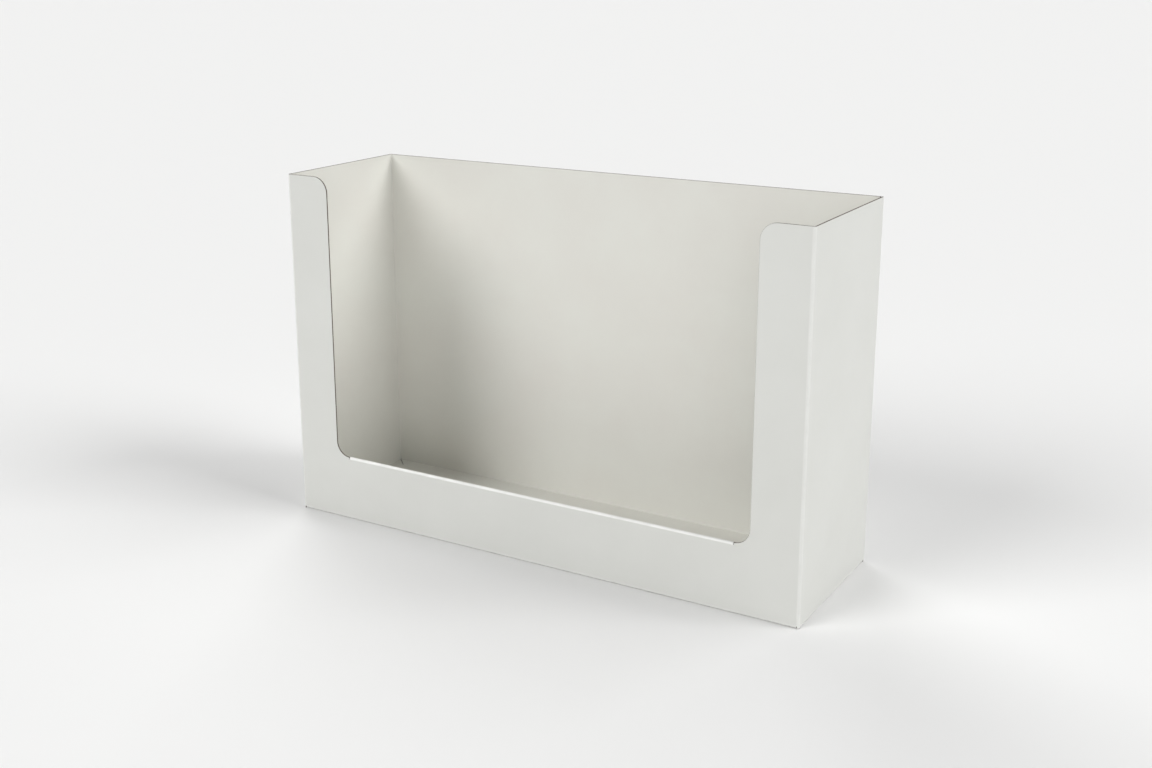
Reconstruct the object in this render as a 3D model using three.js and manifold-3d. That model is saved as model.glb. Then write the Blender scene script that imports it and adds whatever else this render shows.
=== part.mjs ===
// Open-topped counter display box folded from one sheet of coated board.
// Millimetres, +Z up. The origin is the middle of the footprint, on the surface that the box stands on.
// The display window is on the front, at -Y. The glued corner seam is at the back right, at +X +Y.

import * as THREE from "three";
import { mergeVertices } from "three/addons/utils/BufferGeometryUtils.js";
import Module from "manifold-3d";

// Outer size of the folded box
const WIDTH = 298;
const DEPTH = 90;
const HEIGHT = 190;

// Board
const BOARD = 0.8;
const FOLD_INSIDE_RADIUS = 0.3;
const FOLD_STEPS = 6;
const GLUE_FILM = 0.12;
const CREASE_DEPTH = 0.22;
const CREASE_WIDTH = 0.7;

// Display window in the front panel
const STILE = 26;
const RAIL = 36;
const SILL_CORNER_RADIUS = 8;
const STILE_TOP_RADIUS = 8.5;
const ARC_STEPS = 10;

// Hem: the strip over the rail, folded back and down inside it
const HEM_GAP = 0.3;
const HEM_FLOOR_GAP = 3;
const HEM_CORNER_RADIUS = 6;
const HEM_STEPS = 10;

// Glue flap inside the back right corner
const SEAM_FLAP = 15;
const SEAM_FLAP_TAPER = 4;
const SEAM_FLAP_FOOT = 5;
const SEAM_FLAP_HEAD = 1.2;
const SEAM_EDGE_GAP = 0.3;

// Bottom: two main flaps meet along the middle, and each carries a tab glued under an end flap
const MAIN_FLAP_FREE_TAPER = 14;
const MAIN_FLAP_HOOK = 9;
const MAIN_FLAP_STEP_LENGTH = 34;
const MIDDLE_GAP = 0.4;
const TAB_CLEARANCE = 2;
const END_FLAP = 52;
const END_FLAP_CORNER_RADIUS = 6;
const END_FLAP_FREE_TAPER = 16;
const END_FLAP_RAMP = 6;
const CORNER_SLIT = 0.6;

// Glue films lie this far inside the edges of the flaps that they hold
const GLUE_MARGIN = 4;
// Joined bodies overlap by this much, and cutters run this far past the faces that they cut
const BITE = 0.5;
const CUTTER_OVERRUN = 1;

// Derived sizes
const HALF_W = WIDTH / 2;
const HALF_D = DEPTH / 2;
const HALF_BOARD = BOARD / 2;
const FOLD_RADIUS = FOLD_INSIDE_RADIUS + HALF_BOARD;
const FOLD_REACH = FOLD_INSIDE_RADIUS + BOARD;
const PLY_STEP = BOARD + GLUE_FILM;
const WINDOW_HALF = HALF_W - STILE;
const HEM_HALF = WINDOW_HALF - SILL_CORNER_RADIUS;
const HEM_BEND_RADIUS = (BOARD + HEM_GAP) / 2;
const HEM_REACH = HEM_BEND_RADIUS + HALF_BOARD;
const HEM_FOOT = BOARD + HEM_FLOOR_GAP;
const FOLD_END_X = HALF_W - FOLD_REACH;
const FOLD_END_Y = HALF_D - FOLD_REACH;
const RAMP_ROOM = END_FLAP_RAMP + TAB_CLEARANCE;
const TAB_X = FOLD_END_X - RAMP_ROOM;

const wasm = await Module();
wasm.setup();

// A closed three.js geometry as a solid that can be cut and joined.
function solid(geometry) {
  const bare = geometry.clone();
  bare.deleteAttribute("normal");
  bare.deleteAttribute("uv");
  const merged = mergeVertices(bare, 1e-4);
  return new wasm.Manifold(
    new wasm.Mesh({
      numProp: 3,
      vertProperties: merged.attributes.position.array,
      triVerts: new Uint32Array(merged.index.array),
    }),
  );
}

// A solid as a three.js geometry.
function geometryOf(body) {
  const mesh = body.getMesh();
  const geometry = new THREE.BufferGeometry();
  geometry.setAttribute("position", new THREE.BufferAttribute(mesh.vertProperties, 3));
  geometry.setIndex(new THREE.BufferAttribute(mesh.triVerts, 1));
  geometry.computeVertexNormals();
  return geometry;
}

// A shape drawn in plan (X, Y), standing from one height to another.
function plate(shape, from, to) {
  const geometry = new THREE.ExtrudeGeometry(shape, {
    depth: to - from,
    bevelEnabled: false,
    curveSegments: ARC_STEPS,
  });
  return geometry.translate(0, 0, from);
}

// A shape drawn in front view (X, Z), running from one Y to another.
function frontPlate(shape, from, to) {
  return plate(shape, -to, -from).rotateX(Math.PI / 2);
}

// A shape drawn in side view (Y, Z), running from one X to another.
function sidePlate(shape, from, to) {
  return plate(shape, from, to).rotateX(Math.PI / 2).rotateZ(Math.PI / 2);
}

// A box between two corners.
function block(low, high) {
  const size = high.map((value, axis) => value - low[axis]);
  const middle = high.map((value, axis) => (value + low[axis]) / 2);
  return new THREE.BoxGeometry(...size).translate(...middle);
}

// The section of a sheet of board whose middle line runs through the corners, rounded at each one.
// A corner is [x, y, radius, steps], and the radius is that of the middle line.
function sheetSection(corners) {
  const left = [];
  const right = [];
  const add = (point, along) => {
    const across = new THREE.Vector2(-along.y, along.x).multiplyScalar(HALF_BOARD);
    left.push(point.clone().add(across));
    right.push(point.clone().sub(across));
  };
  const points = corners.map(([x, y]) => new THREE.Vector2(x, y));
  points.forEach((point, index) => {
    const before = points[index - 1];
    const after = points[index + 1];
    if (!before || !after) {
      const along = before ? point.clone().sub(before) : after.clone().sub(point);
      add(point, along.normalize());
      return;
    }
    const arriving = point.clone().sub(before).normalize();
    const leaving = after.clone().sub(point).normalize();
    const turn = Math.atan2(arriving.cross(leaving), arriving.dot(leaving));
    const [, , radius, steps] = corners[index];
    const start = point.clone().addScaledVector(arriving, -radius * Math.tan(Math.abs(turn) / 2));
    const side = Math.sign(turn);
    const toCentre = new THREE.Vector2(-arriving.y, arriving.x).multiplyScalar(side * radius);
    const centre = start.clone().add(toCentre);
    for (let step = 0; step <= steps; step += 1) {
      const angle = (turn * step) / steps;
      const origin = new THREE.Vector2();
      const spoke = toCentre.clone().negate().rotateAround(origin, angle);
      add(centre.clone().add(spoke), arriving.clone().rotateAround(origin, angle));
    }
  });
  return new THREE.Shape([...right, ...left.reverse()]);
}

// A closed outline with rounded corners. A corner is [x, y, radius].
function roundedOutline(corners) {
  const shape = new THREE.Shape();
  corners.forEach(([x, y, radius = 0], index) => {
    const point = new THREE.Vector2(x, y);
    const near = (other) => {
      const [toX, toY] = corners[(index + other + corners.length) % corners.length];
      return new THREE.Vector2(toX, toY).sub(point).normalize();
    };
    if (radius === 0) {
      if (index === 0) shape.moveTo(x, y);
      else shape.lineTo(x, y);
      return;
    }
    const back = near(-1);
    const on = near(1);
    const half = Math.acos(THREE.MathUtils.clamp(back.dot(on), -1, 1)) / 2;
    const reach = radius / Math.tan(half);
    const start = point.clone().addScaledVector(back, reach);
    const middle = back.clone().add(on).normalize();
    const centre = point.clone().addScaledVector(middle, radius / Math.sin(half));
    const end = point.clone().addScaledVector(on, reach);
    const from = start.clone().sub(centre).angle();
    const to = end.clone().sub(centre).angle();
    if (index === 0) shape.moveTo(start.x, start.y);
    else shape.lineTo(start.x, start.y);
    shape.absarc(centre.x, centre.y, radius, from, to, back.cross(on) > 0);
  });
  shape.closePath();
  return shape;
}

// The four walls and the seam's glue flap: one strip of board folded round four corners.
function sleeve() {
  const wallX = HALF_W - HALF_BOARD;
  const wallY = HALF_D - HALF_BOARD;
  const flapX = wallX - PLY_STEP;
  const seamEnd = HALF_D - SEAM_EDGE_GAP;
  const strip = sheetSection([
    [wallX, seamEnd],
    [wallX, -wallY, FOLD_RADIUS, FOLD_STEPS],
    [-wallX, -wallY, FOLD_RADIUS, FOLD_STEPS],
    [-wallX, wallY, FOLD_RADIUS, FOLD_STEPS],
    [flapX, wallY, FOLD_RADIUS, FOLD_STEPS],
    [flapX, HALF_D - SEAM_FLAP],
  ]);
  return solid(plate(strip, 0, HEIGHT));
}

// The space above and below the glue flap's slanted ends, clear of the wall that it is glued to.
function seamFlapTrim() {
  const edge = FOLD_END_Y;
  const tip = HALF_D - SEAM_FLAP - CUTTER_OVERRUN;
  const fall = SEAM_FLAP_TAPER;
  const over = HEIGHT + CUTTER_OVERRUN;
  const foot = new THREE.Shape([
    new THREE.Vector2(edge, -CUTTER_OVERRUN),
    new THREE.Vector2(edge, SEAM_FLAP_FOOT),
    new THREE.Vector2(tip, SEAM_FLAP_FOOT + fall),
    new THREE.Vector2(tip, -CUTTER_OVERRUN),
  ]);
  const head = new THREE.Shape([
    new THREE.Vector2(tip, over),
    new THREE.Vector2(tip, HEIGHT - SEAM_FLAP_HEAD - fall),
    new THREE.Vector2(edge, HEIGHT - SEAM_FLAP_HEAD),
    new THREE.Vector2(edge, over),
  ]);
  const inside = HALF_W - BOARD - GLUE_FILM / 2;
  const from = inside - 2 * BOARD;
  return solid(sidePlate(foot, from, inside)).add(solid(sidePlate(head, from, inside)));
}

// The film of glue between the glue flap and the right wall.
function seamGlue() {
  const outside = HALF_W - BOARD;
  const back = FOLD_END_Y - GLUE_MARGIN / 2;
  const front = HALF_D - SEAM_FLAP + GLUE_MARGIN;
  const low = SEAM_FLAP_FOOT + SEAM_FLAP_TAPER + GLUE_MARGIN;
  const high = HEIGHT - SEAM_FLAP_HEAD - SEAM_FLAP_TAPER - GLUE_MARGIN;
  const bite = HALF_BOARD / 2;
  return solid(block([outside - GLUE_FILM - bite, front, low], [outside + bite, back, high]));
}

// The window: open at the top, with flared top corners and rounded sill corners.
function windowCut() {
  const over = HEIGHT + CUTTER_OVERRUN;
  const flare = WINDOW_HALF + STILE_TOP_RADIUS;
  const shoulder = HEIGHT - STILE_TOP_RADIUS;
  const sill = RAIL + SILL_CORNER_RADIUS;
  const hemFold = RAIL - HEM_REACH;
  const shape = new THREE.Shape();
  shape.moveTo(-flare, over);
  shape.lineTo(-flare, HEIGHT);
  shape.absarc(-flare, shoulder, STILE_TOP_RADIUS, Math.PI / 2, 0, true);
  shape.lineTo(-WINDOW_HALF, sill);
  shape.absarc(-HEM_HALF, sill, SILL_CORNER_RADIUS, Math.PI, 1.5 * Math.PI, false);
  shape.lineTo(-HEM_HALF, hemFold);
  shape.lineTo(HEM_HALF, hemFold);
  shape.lineTo(HEM_HALF, RAIL);
  shape.absarc(HEM_HALF, sill, SILL_CORNER_RADIUS, 1.5 * Math.PI, 2 * Math.PI, false);
  shape.lineTo(WINDOW_HALF, shoulder);
  shape.absarc(flare, shoulder, STILE_TOP_RADIUS, Math.PI, Math.PI / 2, true);
  shape.lineTo(flare, over);
  return solid(frontPlate(shape, -HALF_D - CUTTER_OVERRUN, -HALF_D + BOARD + CUTTER_OVERRUN));
}

// The hem: the sheet runs up the rail, over the fold and down behind the rail.
function hem() {
  const frontY = -HALF_D + HALF_BOARD;
  const behindY = frontY + 2 * HEM_BEND_RADIUS;
  const top = RAIL - HALF_BOARD;
  const quarter = HEM_STEPS / 2;
  const section = sheetSection([
    [frontY, RAIL - HEM_REACH - BITE],
    [frontY, top, HEM_BEND_RADIUS, quarter],
    [behindY, top, HEM_BEND_RADIUS, quarter],
    [behindY, HEM_FOOT],
  ]);
  const outline = roundedOutline([
    [-HEM_HALF, RAIL + CUTTER_OVERRUN],
    [-HEM_HALF, HEM_FOOT, HEM_CORNER_RADIUS],
    [HEM_HALF, HEM_FOOT, HEM_CORNER_RADIUS],
    [HEM_HALF, RAIL + CUTTER_OVERRUN],
  ]);
  const strip = solid(sidePlate(section, -HEM_HALF, HEM_HALF));
  return strip.intersect(solid(frontPlate(outline, -HALF_D - CUTTER_OVERRUN, behindY + BOARD)));
}

// The film of glue between the hem and the rail.
function hemGlue() {
  const inside = -HALF_D + BOARD;
  const bite = HALF_BOARD / 2;
  const half = HEM_HALF - HEM_CORNER_RADIUS - GLUE_MARGIN;
  const low = HEM_FOOT + HEM_CORNER_RADIUS;
  const high = RAIL - HEM_REACH - GLUE_MARGIN;
  return solid(block([-half, inside - bite, low], [half, inside + HEM_GAP + bite, high]));
}

// The foot of the back wall, which the fold of the main flap takes the place of.
function backFoot() {
  const end = FOLD_END_X - BITE;
  const inside = HALF_D - BOARD - HALF_BOARD;
  return solid(block([-end, inside, -CUTTER_OVERRUN], [end, HALF_D + CUTTER_OVERRUN, FOLD_REACH]));
}

// The foot of the right wall, which the fold of the end flap takes the place of.
function rightFoot() {
  const inside = HALF_W - BOARD - HALF_BOARD;
  const outside = HALF_W + CUTTER_OVERRUN;
  return solid(block([inside, -FOLD_END_Y, -CUTTER_OVERRUN], [outside, FOLD_END_Y, FOLD_REACH]));
}

// The line where the main flaps meet: straight at each end, with an S-shaped step in the middle.
function meetingLine(offset) {
  const line = new THREE.Path();
  const half = MAIN_FLAP_STEP_LENGTH / 2;
  line.moveTo(-half, -MAIN_FLAP_HOOK + offset);
  line.bezierCurveTo(0, -MAIN_FLAP_HOOK + offset, 0, MAIN_FLAP_HOOK + offset, half, MAIN_FLAP_HOOK + offset);
  return line.getPoints(ARC_STEPS);
}

// A main bottom flap, folded in from the back wall. Its right end is the tab that the end flap is glued to.
function mainFlap() {
  const wallY = HALF_D - HALF_BOARD;
  const middle = MIDDLE_GAP / 2;
  const over = HALF_D + CUTTER_OVERRUN;
  const section = sheetSection([
    [wallY, FOLD_REACH + BITE],
    [wallY, HALF_BOARD, FOLD_RADIUS, FOLD_STEPS],
    [-MAIN_FLAP_HOOK - CUTTER_OVERRUN, HALF_BOARD],
  ]);
  const mitreY = FOLD_END_Y - RAMP_ROOM;
  const outline = new THREE.Shape();
  outline.moveTo(FOLD_END_X, over);
  outline.lineTo(-FOLD_END_X, over);
  outline.lineTo(-FOLD_END_X, FOLD_END_Y);
  outline.lineTo(-TAB_X, mitreY);
  outline.lineTo(-TAB_X + MAIN_FLAP_FREE_TAPER / 2, middle);
  outline.lineTo(-TAB_X + MAIN_FLAP_FREE_TAPER, -MAIN_FLAP_HOOK + middle);
  meetingLine(middle).forEach((point) => outline.lineTo(point.x, point.y));
  outline.lineTo(TAB_X, MAIN_FLAP_HOOK + middle);
  outline.lineTo(TAB_X, mitreY);
  outline.lineTo(FOLD_END_X, FOLD_END_Y);
  const strip = solid(sidePlate(section, -FOLD_END_X, FOLD_END_X));
  return strip.intersect(solid(plate(outline, -CUTTER_OVERRUN, FOLD_REACH + CUTTER_OVERRUN)));
}

// The slanted crease on the underside, where the tab hinges while the box is flat.
function tabCrease() {
  const reach = FOLD_END_Y - MAIN_FLAP_HOOK - MIDDLE_GAP / 2;
  const groove = new THREE.Shape([
    new THREE.Vector2(-CREASE_WIDTH / 2, -CREASE_DEPTH),
    new THREE.Vector2(CREASE_WIDTH / 2, -CREASE_DEPTH),
    new THREE.Vector2(0, CREASE_DEPTH),
  ]);
  const cutter = frontPlate(groove, 0, reach * Math.SQRT2).rotateZ((3 * Math.PI) / 4);
  return solid(cutter.translate(FOLD_END_X, FOLD_END_Y, 0));
}

// An end flap, folded in from the right wall and stepped up to lie on the main flaps.
function endFlap() {
  const wallX = HALF_W - HALF_BOARD;
  const level = HALF_BOARD + PLY_STEP;
  const over = HALF_W + CUTTER_OVERRUN;
  const tip = HALF_W - END_FLAP;
  const section = sheetSection([
    [wallX, FOLD_REACH + BITE],
    [wallX, HALF_BOARD, FOLD_RADIUS, FOLD_STEPS],
    [FOLD_END_X - BITE, HALF_BOARD, 2 * BOARD, 2],
    [FOLD_END_X - END_FLAP_RAMP, level, 2 * BOARD, 2],
    [tip, level],
  ]);
  const foldEnd = FOLD_END_Y - CORNER_SLIT;
  const mitre = foldEnd - RAMP_ROOM;
  const outline = roundedOutline([
    [over, foldEnd],
    [FOLD_END_X, foldEnd],
    [TAB_X, mitre],
    [tip, mitre, END_FLAP_CORNER_RADIUS],
    [tip, -mitre + END_FLAP_FREE_TAPER, END_FLAP_CORNER_RADIUS],
    [TAB_X, -mitre],
    [FOLD_END_X, -foldEnd],
    [over, -foldEnd],
  ]);
  const strip = solid(frontPlate(section, -foldEnd, foldEnd));
  return strip.intersect(solid(plate(outline, -CUTTER_OVERRUN, FOLD_REACH + CUTTER_OVERRUN)));
}

// The film of glue between a tab and its end flap.
function tabGlue() {
  const right = TAB_X - GLUE_MARGIN;
  const left = HALF_W - END_FLAP + END_FLAP_CORNER_RADIUS;
  const back = FOLD_END_Y - RAMP_ROOM - GLUE_MARGIN;
  const front = MAIN_FLAP_HOOK + GLUE_MARGIN;
  const bite = HALF_BOARD / 2;
  return solid(block([left, front, BOARD - bite], [right, back, BOARD + GLUE_FILM + bite]));
}

// Half of the bottom, which a half turn about Z repeats.
function bottomHalf() {
  return mainFlap().subtract(tabCrease()).add(endFlap()).add(tabGlue());
}

// The whole box, folded and glued.
function foldedBox() {
  const half = bottomHalf();
  const turned = half.rotate([0, 0, 180]);
  const feet = backFoot().add(rightFoot());
  const walls = sleeve()
    .subtract(seamFlapTrim())
    .subtract(windowCut())
    .subtract(feet)
    .subtract(feet.rotate([0, 0, 180]));
  return walls.add(seamGlue()).add(hem()).add(hemGlue()).add(half).add(turned);
}

const coatedBoard = new THREE.MeshStandardMaterial({
  name: "coated_board",
  color: 0xdfe0da,
  roughness: 0.55,
  metalness: 0,
});

const displayBox = new THREE.Mesh(geometryOf(foldedBox()), coatedBoard);
displayBox.name = "folded_box";

const part = new THREE.Group();
part.add(displayBox);

export default part;
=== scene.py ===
import logging
import math
from dataclasses import dataclass, field
from enum import Enum
from typing import Callable, Sequence

import bpy
import numpy as np
from mathutils import Matrix, Vector
from mathutils.geometry import delaunay_2d_cdt


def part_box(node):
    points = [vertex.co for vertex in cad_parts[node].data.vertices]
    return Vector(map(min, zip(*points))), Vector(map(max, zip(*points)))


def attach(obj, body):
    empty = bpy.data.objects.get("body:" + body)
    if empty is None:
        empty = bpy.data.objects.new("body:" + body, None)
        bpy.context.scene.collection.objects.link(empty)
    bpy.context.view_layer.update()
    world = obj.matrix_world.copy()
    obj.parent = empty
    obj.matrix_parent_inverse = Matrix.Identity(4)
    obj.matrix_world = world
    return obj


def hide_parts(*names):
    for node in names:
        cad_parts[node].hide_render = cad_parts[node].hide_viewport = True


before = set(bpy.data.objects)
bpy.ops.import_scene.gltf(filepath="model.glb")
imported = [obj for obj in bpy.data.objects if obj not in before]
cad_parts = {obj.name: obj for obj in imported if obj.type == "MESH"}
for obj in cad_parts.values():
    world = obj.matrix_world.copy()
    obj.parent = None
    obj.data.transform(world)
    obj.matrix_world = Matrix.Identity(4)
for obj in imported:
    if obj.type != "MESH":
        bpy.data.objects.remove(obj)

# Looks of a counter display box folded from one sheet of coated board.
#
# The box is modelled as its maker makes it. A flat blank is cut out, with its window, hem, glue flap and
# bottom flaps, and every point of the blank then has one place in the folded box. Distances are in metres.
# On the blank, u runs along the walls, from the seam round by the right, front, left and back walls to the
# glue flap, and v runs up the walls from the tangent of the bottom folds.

logging.basicConfig(level=logging.INFO, format="%(message)s")
log = logging.getLogger("display_box")

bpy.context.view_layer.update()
MM = 0.001
SHARP_ANGLE = math.radians(30)
LONGEST_MITRE = 2  # times the step of one side
FOLD_SAMPLES = 4000
MERGE_GAP = 1e-5  # in millimetres

Points = np.ndarray
Color = tuple[float, float, float]
Span = tuple[float, float]
Socket = bpy.types.NodeSocket
Feed = float | Sequence[float] | Socket | None


class Face(Enum):
    """The three kinds of surface on a sheet of board, in the order of the mesh's material slots."""

    OUTSIDE = 0
    INSIDE = 1
    CUT_EDGE = 2


@dataclass(frozen=True)
class Board:
    """The sheet: its thickness, how it folds and how its cut edges are rounded."""

    thickness: float = 0.8 * MM
    fold_inside_radius: float = 0.3 * MM
    glue_film: float = 0.12 * MM
    edge_round: float = 0.09 * MM

    @property
    def half(self) -> float:
        """Half the board's thickness."""
        return self.thickness / 2

    @property
    def fold_radius(self) -> float:
        """Radius of the board's middle line in a fold."""
        return self.fold_inside_radius + self.half

    @property
    def reach(self) -> float:
        """Distance from a wall's outer face to where the flat part beside a fold begins."""
        return self.fold_inside_radius + self.thickness

    @property
    def fold_length(self) -> float:
        """Length of the middle line round a square fold: a quarter circle."""
        return self.fold_radius * math.pi / 2


class FoldLine:
    """The middle line of a strip of board: straight stretches joined by arcs, measured by arc length."""

    def __init__(self, *corners: tuple[float, float, float]) -> None:
        """Works out each stretch from (a, b, radius) of each corner; both ends have radius 0."""
        at = np.array([corner[:2] for corner in corners])
        along = np.diff(at, axis=0)
        along /= np.linalg.norm(along, axis=1, keepdims=True)
        heading = np.unwrap(np.arctan2(along[:, 1], along[:, 0]))
        turn = np.diff(heading)
        radius = np.array([corner[2] for corner in corners[1:-1]])
        trim = radius * np.tan(np.abs(turn) / 2)
        starts, headings, lengths, curls = [], [], [], []
        place = at[0]
        for index, direction in enumerate(along):
            end = at[index + 1] - direction * (trim[index] if index < len(trim) else 0)
            starts.append(place)
            headings.append(heading[index])
            lengths.append(float(np.linalg.norm(end - place)))
            curls.append(0.0)
            if index < len(trim):
                starts.append(end)
                headings.append(heading[index])
                lengths.append(float(radius[index] * abs(turn[index])))
                curls.append(float(turn[index]) / lengths[-1])
                place = at[index + 1] + along[index + 1] * trim[index]
        self.starts = np.array(starts)
        self.headings = np.array(headings)
        self.curls = np.array(curls)
        self.knots = np.concatenate([[0], np.cumsum(lengths)])

    @property
    def length(self) -> float:
        """Length of the whole line."""
        return float(self.knots[-1])

    def at(self, s: Points) -> tuple[Points, Points]:
        """Place and left-hand normal at arc length s.

        On a straight stretch the place is start + s * heading. On an arc of curl k it is
        start + (sin(k s), 1 - cos(k s)) / k, turned to the stretch's first heading.

        Returns:
            The places and the unit normals to the left, each of s's shape plus one axis of two.
        """
        piece = np.clip(np.searchsorted(self.knots, s, side="right") - 1, 0, len(self.curls) - 1)
        gone = s - self.knots[piece]
        curl = self.curls[piece]
        bent = np.abs(curl) > 0
        safe = np.where(bent, curl, 1.0)
        forward = np.where(bent, np.sin(safe * gone) / safe, gone)
        sideways = np.where(bent, (1 - np.cos(safe * gone)) / safe, 0.0)
        first = self.headings[piece]
        cos, sin = np.cos(first), np.sin(first)
        start = self.starts[piece]
        a = start[..., 0] + forward * cos - sideways * sin
        b = start[..., 1] + forward * sin + sideways * cos
        now = first + curl * gone
        return np.stack([a, b], axis=-1), np.stack([-np.sin(now), np.cos(now)], axis=-1)


def arc(centre: tuple[float, float], radius: float, start: float, end: float, steps: int) -> Points:
    """Points on an arc: centre + radius * (cos a, sin a), with a from start to end in degrees."""
    angle = np.radians(np.linspace(start, end, steps + 1))
    return np.stack([centre[0] + radius * np.cos(angle), centre[1] + radius * np.sin(angle)], axis=1)


def mirrored(points: Points, middle: float) -> Points:
    """The points reflected in the line u = middle, in the opposite order."""
    return np.stack([2 * middle - points[:, 0], points[:, 1]], axis=1)[::-1]


@dataclass
class FoldedBox:
    """The whole box: the blank's outline, its folds, and where each point of it goes.

    A free point of the mesh keeps clear of the lines by its room, which is a share of the edge's band or of
    the mesh's step. The steps are the numbers of sides of the round stretches.
    """

    board: Board = field(default_factory=Board)
    stile: float = 26 * MM
    rail: float = 36 * MM
    sill_corner: float = 8 * MM
    stile_top_corner: float = 8.5 * MM
    hem_gap: float = 0.3 * MM
    hem_floor_gap: float = 3 * MM
    hem_corner: float = 6 * MM
    seam_flap: float = 15 * MM
    seam_flap_taper: float = 4 * MM
    seam_flap_foot: float = 5 * MM
    seam_flap_head: float = 1.2 * MM
    seam_edge_gap: float = 0.3 * MM
    free_taper: float = 14 * MM
    hook: float = 9 * MM
    step_length: float = 34 * MM
    middle_gap: float = 0.4 * MM
    tab_clearance: float = 2 * MM
    end_flap: float = 52 * MM
    end_flap_corner: float = 6 * MM
    end_flap_taper: float = 16 * MM
    ramp: float = 6 * MM
    corner_slit: float = 0.6 * MM
    crease_depth: float = 0.22 * MM
    crease_width: float = 0.7 * MM
    slit: float = 0.14 * MM
    mesh_step: float = 7 * MM
    edge_step: float = 3.5 * MM
    edge_band: float = 0.8 * MM
    fold_band: float = 0.6 * MM
    # Share of the fold mask on square folds, where it paints whitening and a highlight on the outer face.
    square_fold_wear_and_highlight: float = 0.5
    front_bow: float = 0.3 * MM
    back_bow: float = 0.4 * MM
    left_bow: float = 0.2 * MM
    right_bow: float = 0.1 * MM
    ramp_start: float = 0.5 * MM
    band_room: float = 0.7
    grid_room: float = 0.5
    fold_steps: int = 8
    hem_steps: int = 16
    ramp_steps: int = 3
    crease_steps: int = 7
    mitre_steps: int = 11
    hook_steps: int = 16
    window_corner_steps: int = 10
    hem_corner_steps: int = 8
    flap_corner_steps: int = 6

    def __post_init__(self) -> None:
        """Lays out the folds and panels from the CAD box's corners."""
        low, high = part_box("folded_box")
        self.half_w = (high.x - low.x) / 2
        self.half_d = (high.y - low.y) / 2
        self.height = high.z
        board = self.board
        wall_x = self.half_w - board.half
        wall_y = self.half_d - board.half
        flap_x = wall_x - board.thickness - board.glue_film
        self.seam_end = self.half_d - self.seam_edge_gap
        self.end_x = self.half_w - board.reach
        self.end_y = self.half_d - board.reach
        radius = board.fold_radius
        self.plan = FoldLine(
            (wall_x, self.seam_end, 0),
            (wall_x, -wall_y, radius),
            (-wall_x, -wall_y, radius),
            (-wall_x, wall_y, radius),
            (flap_x, wall_y, radius),
            (flap_x, self.half_d - self.seam_flap, 0),
        )
        self.walls = self.plan.knots.reshape(-1, 2)
        self.right, self.front, self.left, self.back, self.flap = self.walls
        self.base_z = board.reach
        self.top_v = self.height - self.base_z
        self.fold_half = self.end_y - self.corner_slit
        self.end_middles = (self.right[0] + self.seam_end, self.left[0] + self.end_y)
        self.main_middles = (self.u_front(0), self.u_back(0))
        self.crease_reach = self.end_y - self.hook - self.middle_gap / 2
        self.window_half = self.half_w - self.stile
        self.hem_half = self.window_half - self.sill_corner
        self.hem_radius = (board.thickness + self.hem_gap) / 2
        self.hem_v = self.rail - self.base_z - self.hem_radius - board.half
        hem_foot = board.thickness + self.hem_floor_gap
        behind = 2 * self.hem_radius
        top = self.rail - board.half
        self.hem_line = FoldLine(
            (0, self.hem_v + self.base_z, 0),
            (0, top, self.hem_radius),
            (behind, top, self.hem_radius),
            (behind, hem_foot, 0),
        )
        far = (2 * self.half_d, board.half, 0)
        self.main_line = FoldLine((0, self.base_z, 0), (0, board.half, radius), far)
        level = board.half + board.thickness + board.glue_film
        ramp_radius = 2 * board.thickness
        self.end_line = FoldLine(
            (0, self.base_z, 0),
            (0, board.half, radius),
            (radius + self.ramp_start, board.half, ramp_radius),
            (radius + self.ramp, level, ramp_radius),
            (self.end_flap, level, 0),
        )

    def u_front(self, x: float) -> float:
        """u of a point of the front wall."""
        return self.front[0] + self.end_x - x

    def u_back(self, x: float) -> float:
        """u of a point of the back wall."""
        return self.back[0] + self.end_x + x

    def main_flap(self, middle: float, wall: Points) -> Points:
        """Outline of a main bottom flap, hung from v = 0, with u rising and its tab at the far end.

        A point at distance d in from the fold's inner tangent lies at v = -(fold length + d). The flap hooks
        into the other main flap along an S-shaped Bezier curve.
        """
        bend = self.board.fold_length
        deep = self.end_y - self.middle_gap / 2
        room = self.ramp + self.tab_clearance
        tab_u = self.end_x - room
        half_step = self.step_length / 2
        t = np.linspace(0, 1, self.hook_steps + 1)[:, None]
        ends = np.array([[-half_step, deep + self.hook], [half_step, deep - self.hook]])
        knees = np.array([[0, deep + self.hook], [0, deep - self.hook]])
        curve = (
            (1 - t) ** 3 * ends[0]
            + 3 * (1 - t) ** 2 * t * knees[0]
            + 3 * (1 - t) * t**2 * knees[1]
            + t**3 * ends[1]
        )
        free = -tab_u + self.free_taper
        steps = np.array(
            [
                [-tab_u, room],
                [-tab_u + self.free_taper / 2, deep],
                [free, deep + self.hook],
                *curve.tolist(),
                [tab_u, deep - self.hook],
                [tab_u, room],
            ]
        )
        steps = steps * [1, -1] + [middle, -bend]
        start, stop = wall[0] + self.slit, wall[1] - self.slit
        return np.concatenate([[[start, 0], [start, -bend]], steps, [[stop, -bend], [stop, 0]]])

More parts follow.
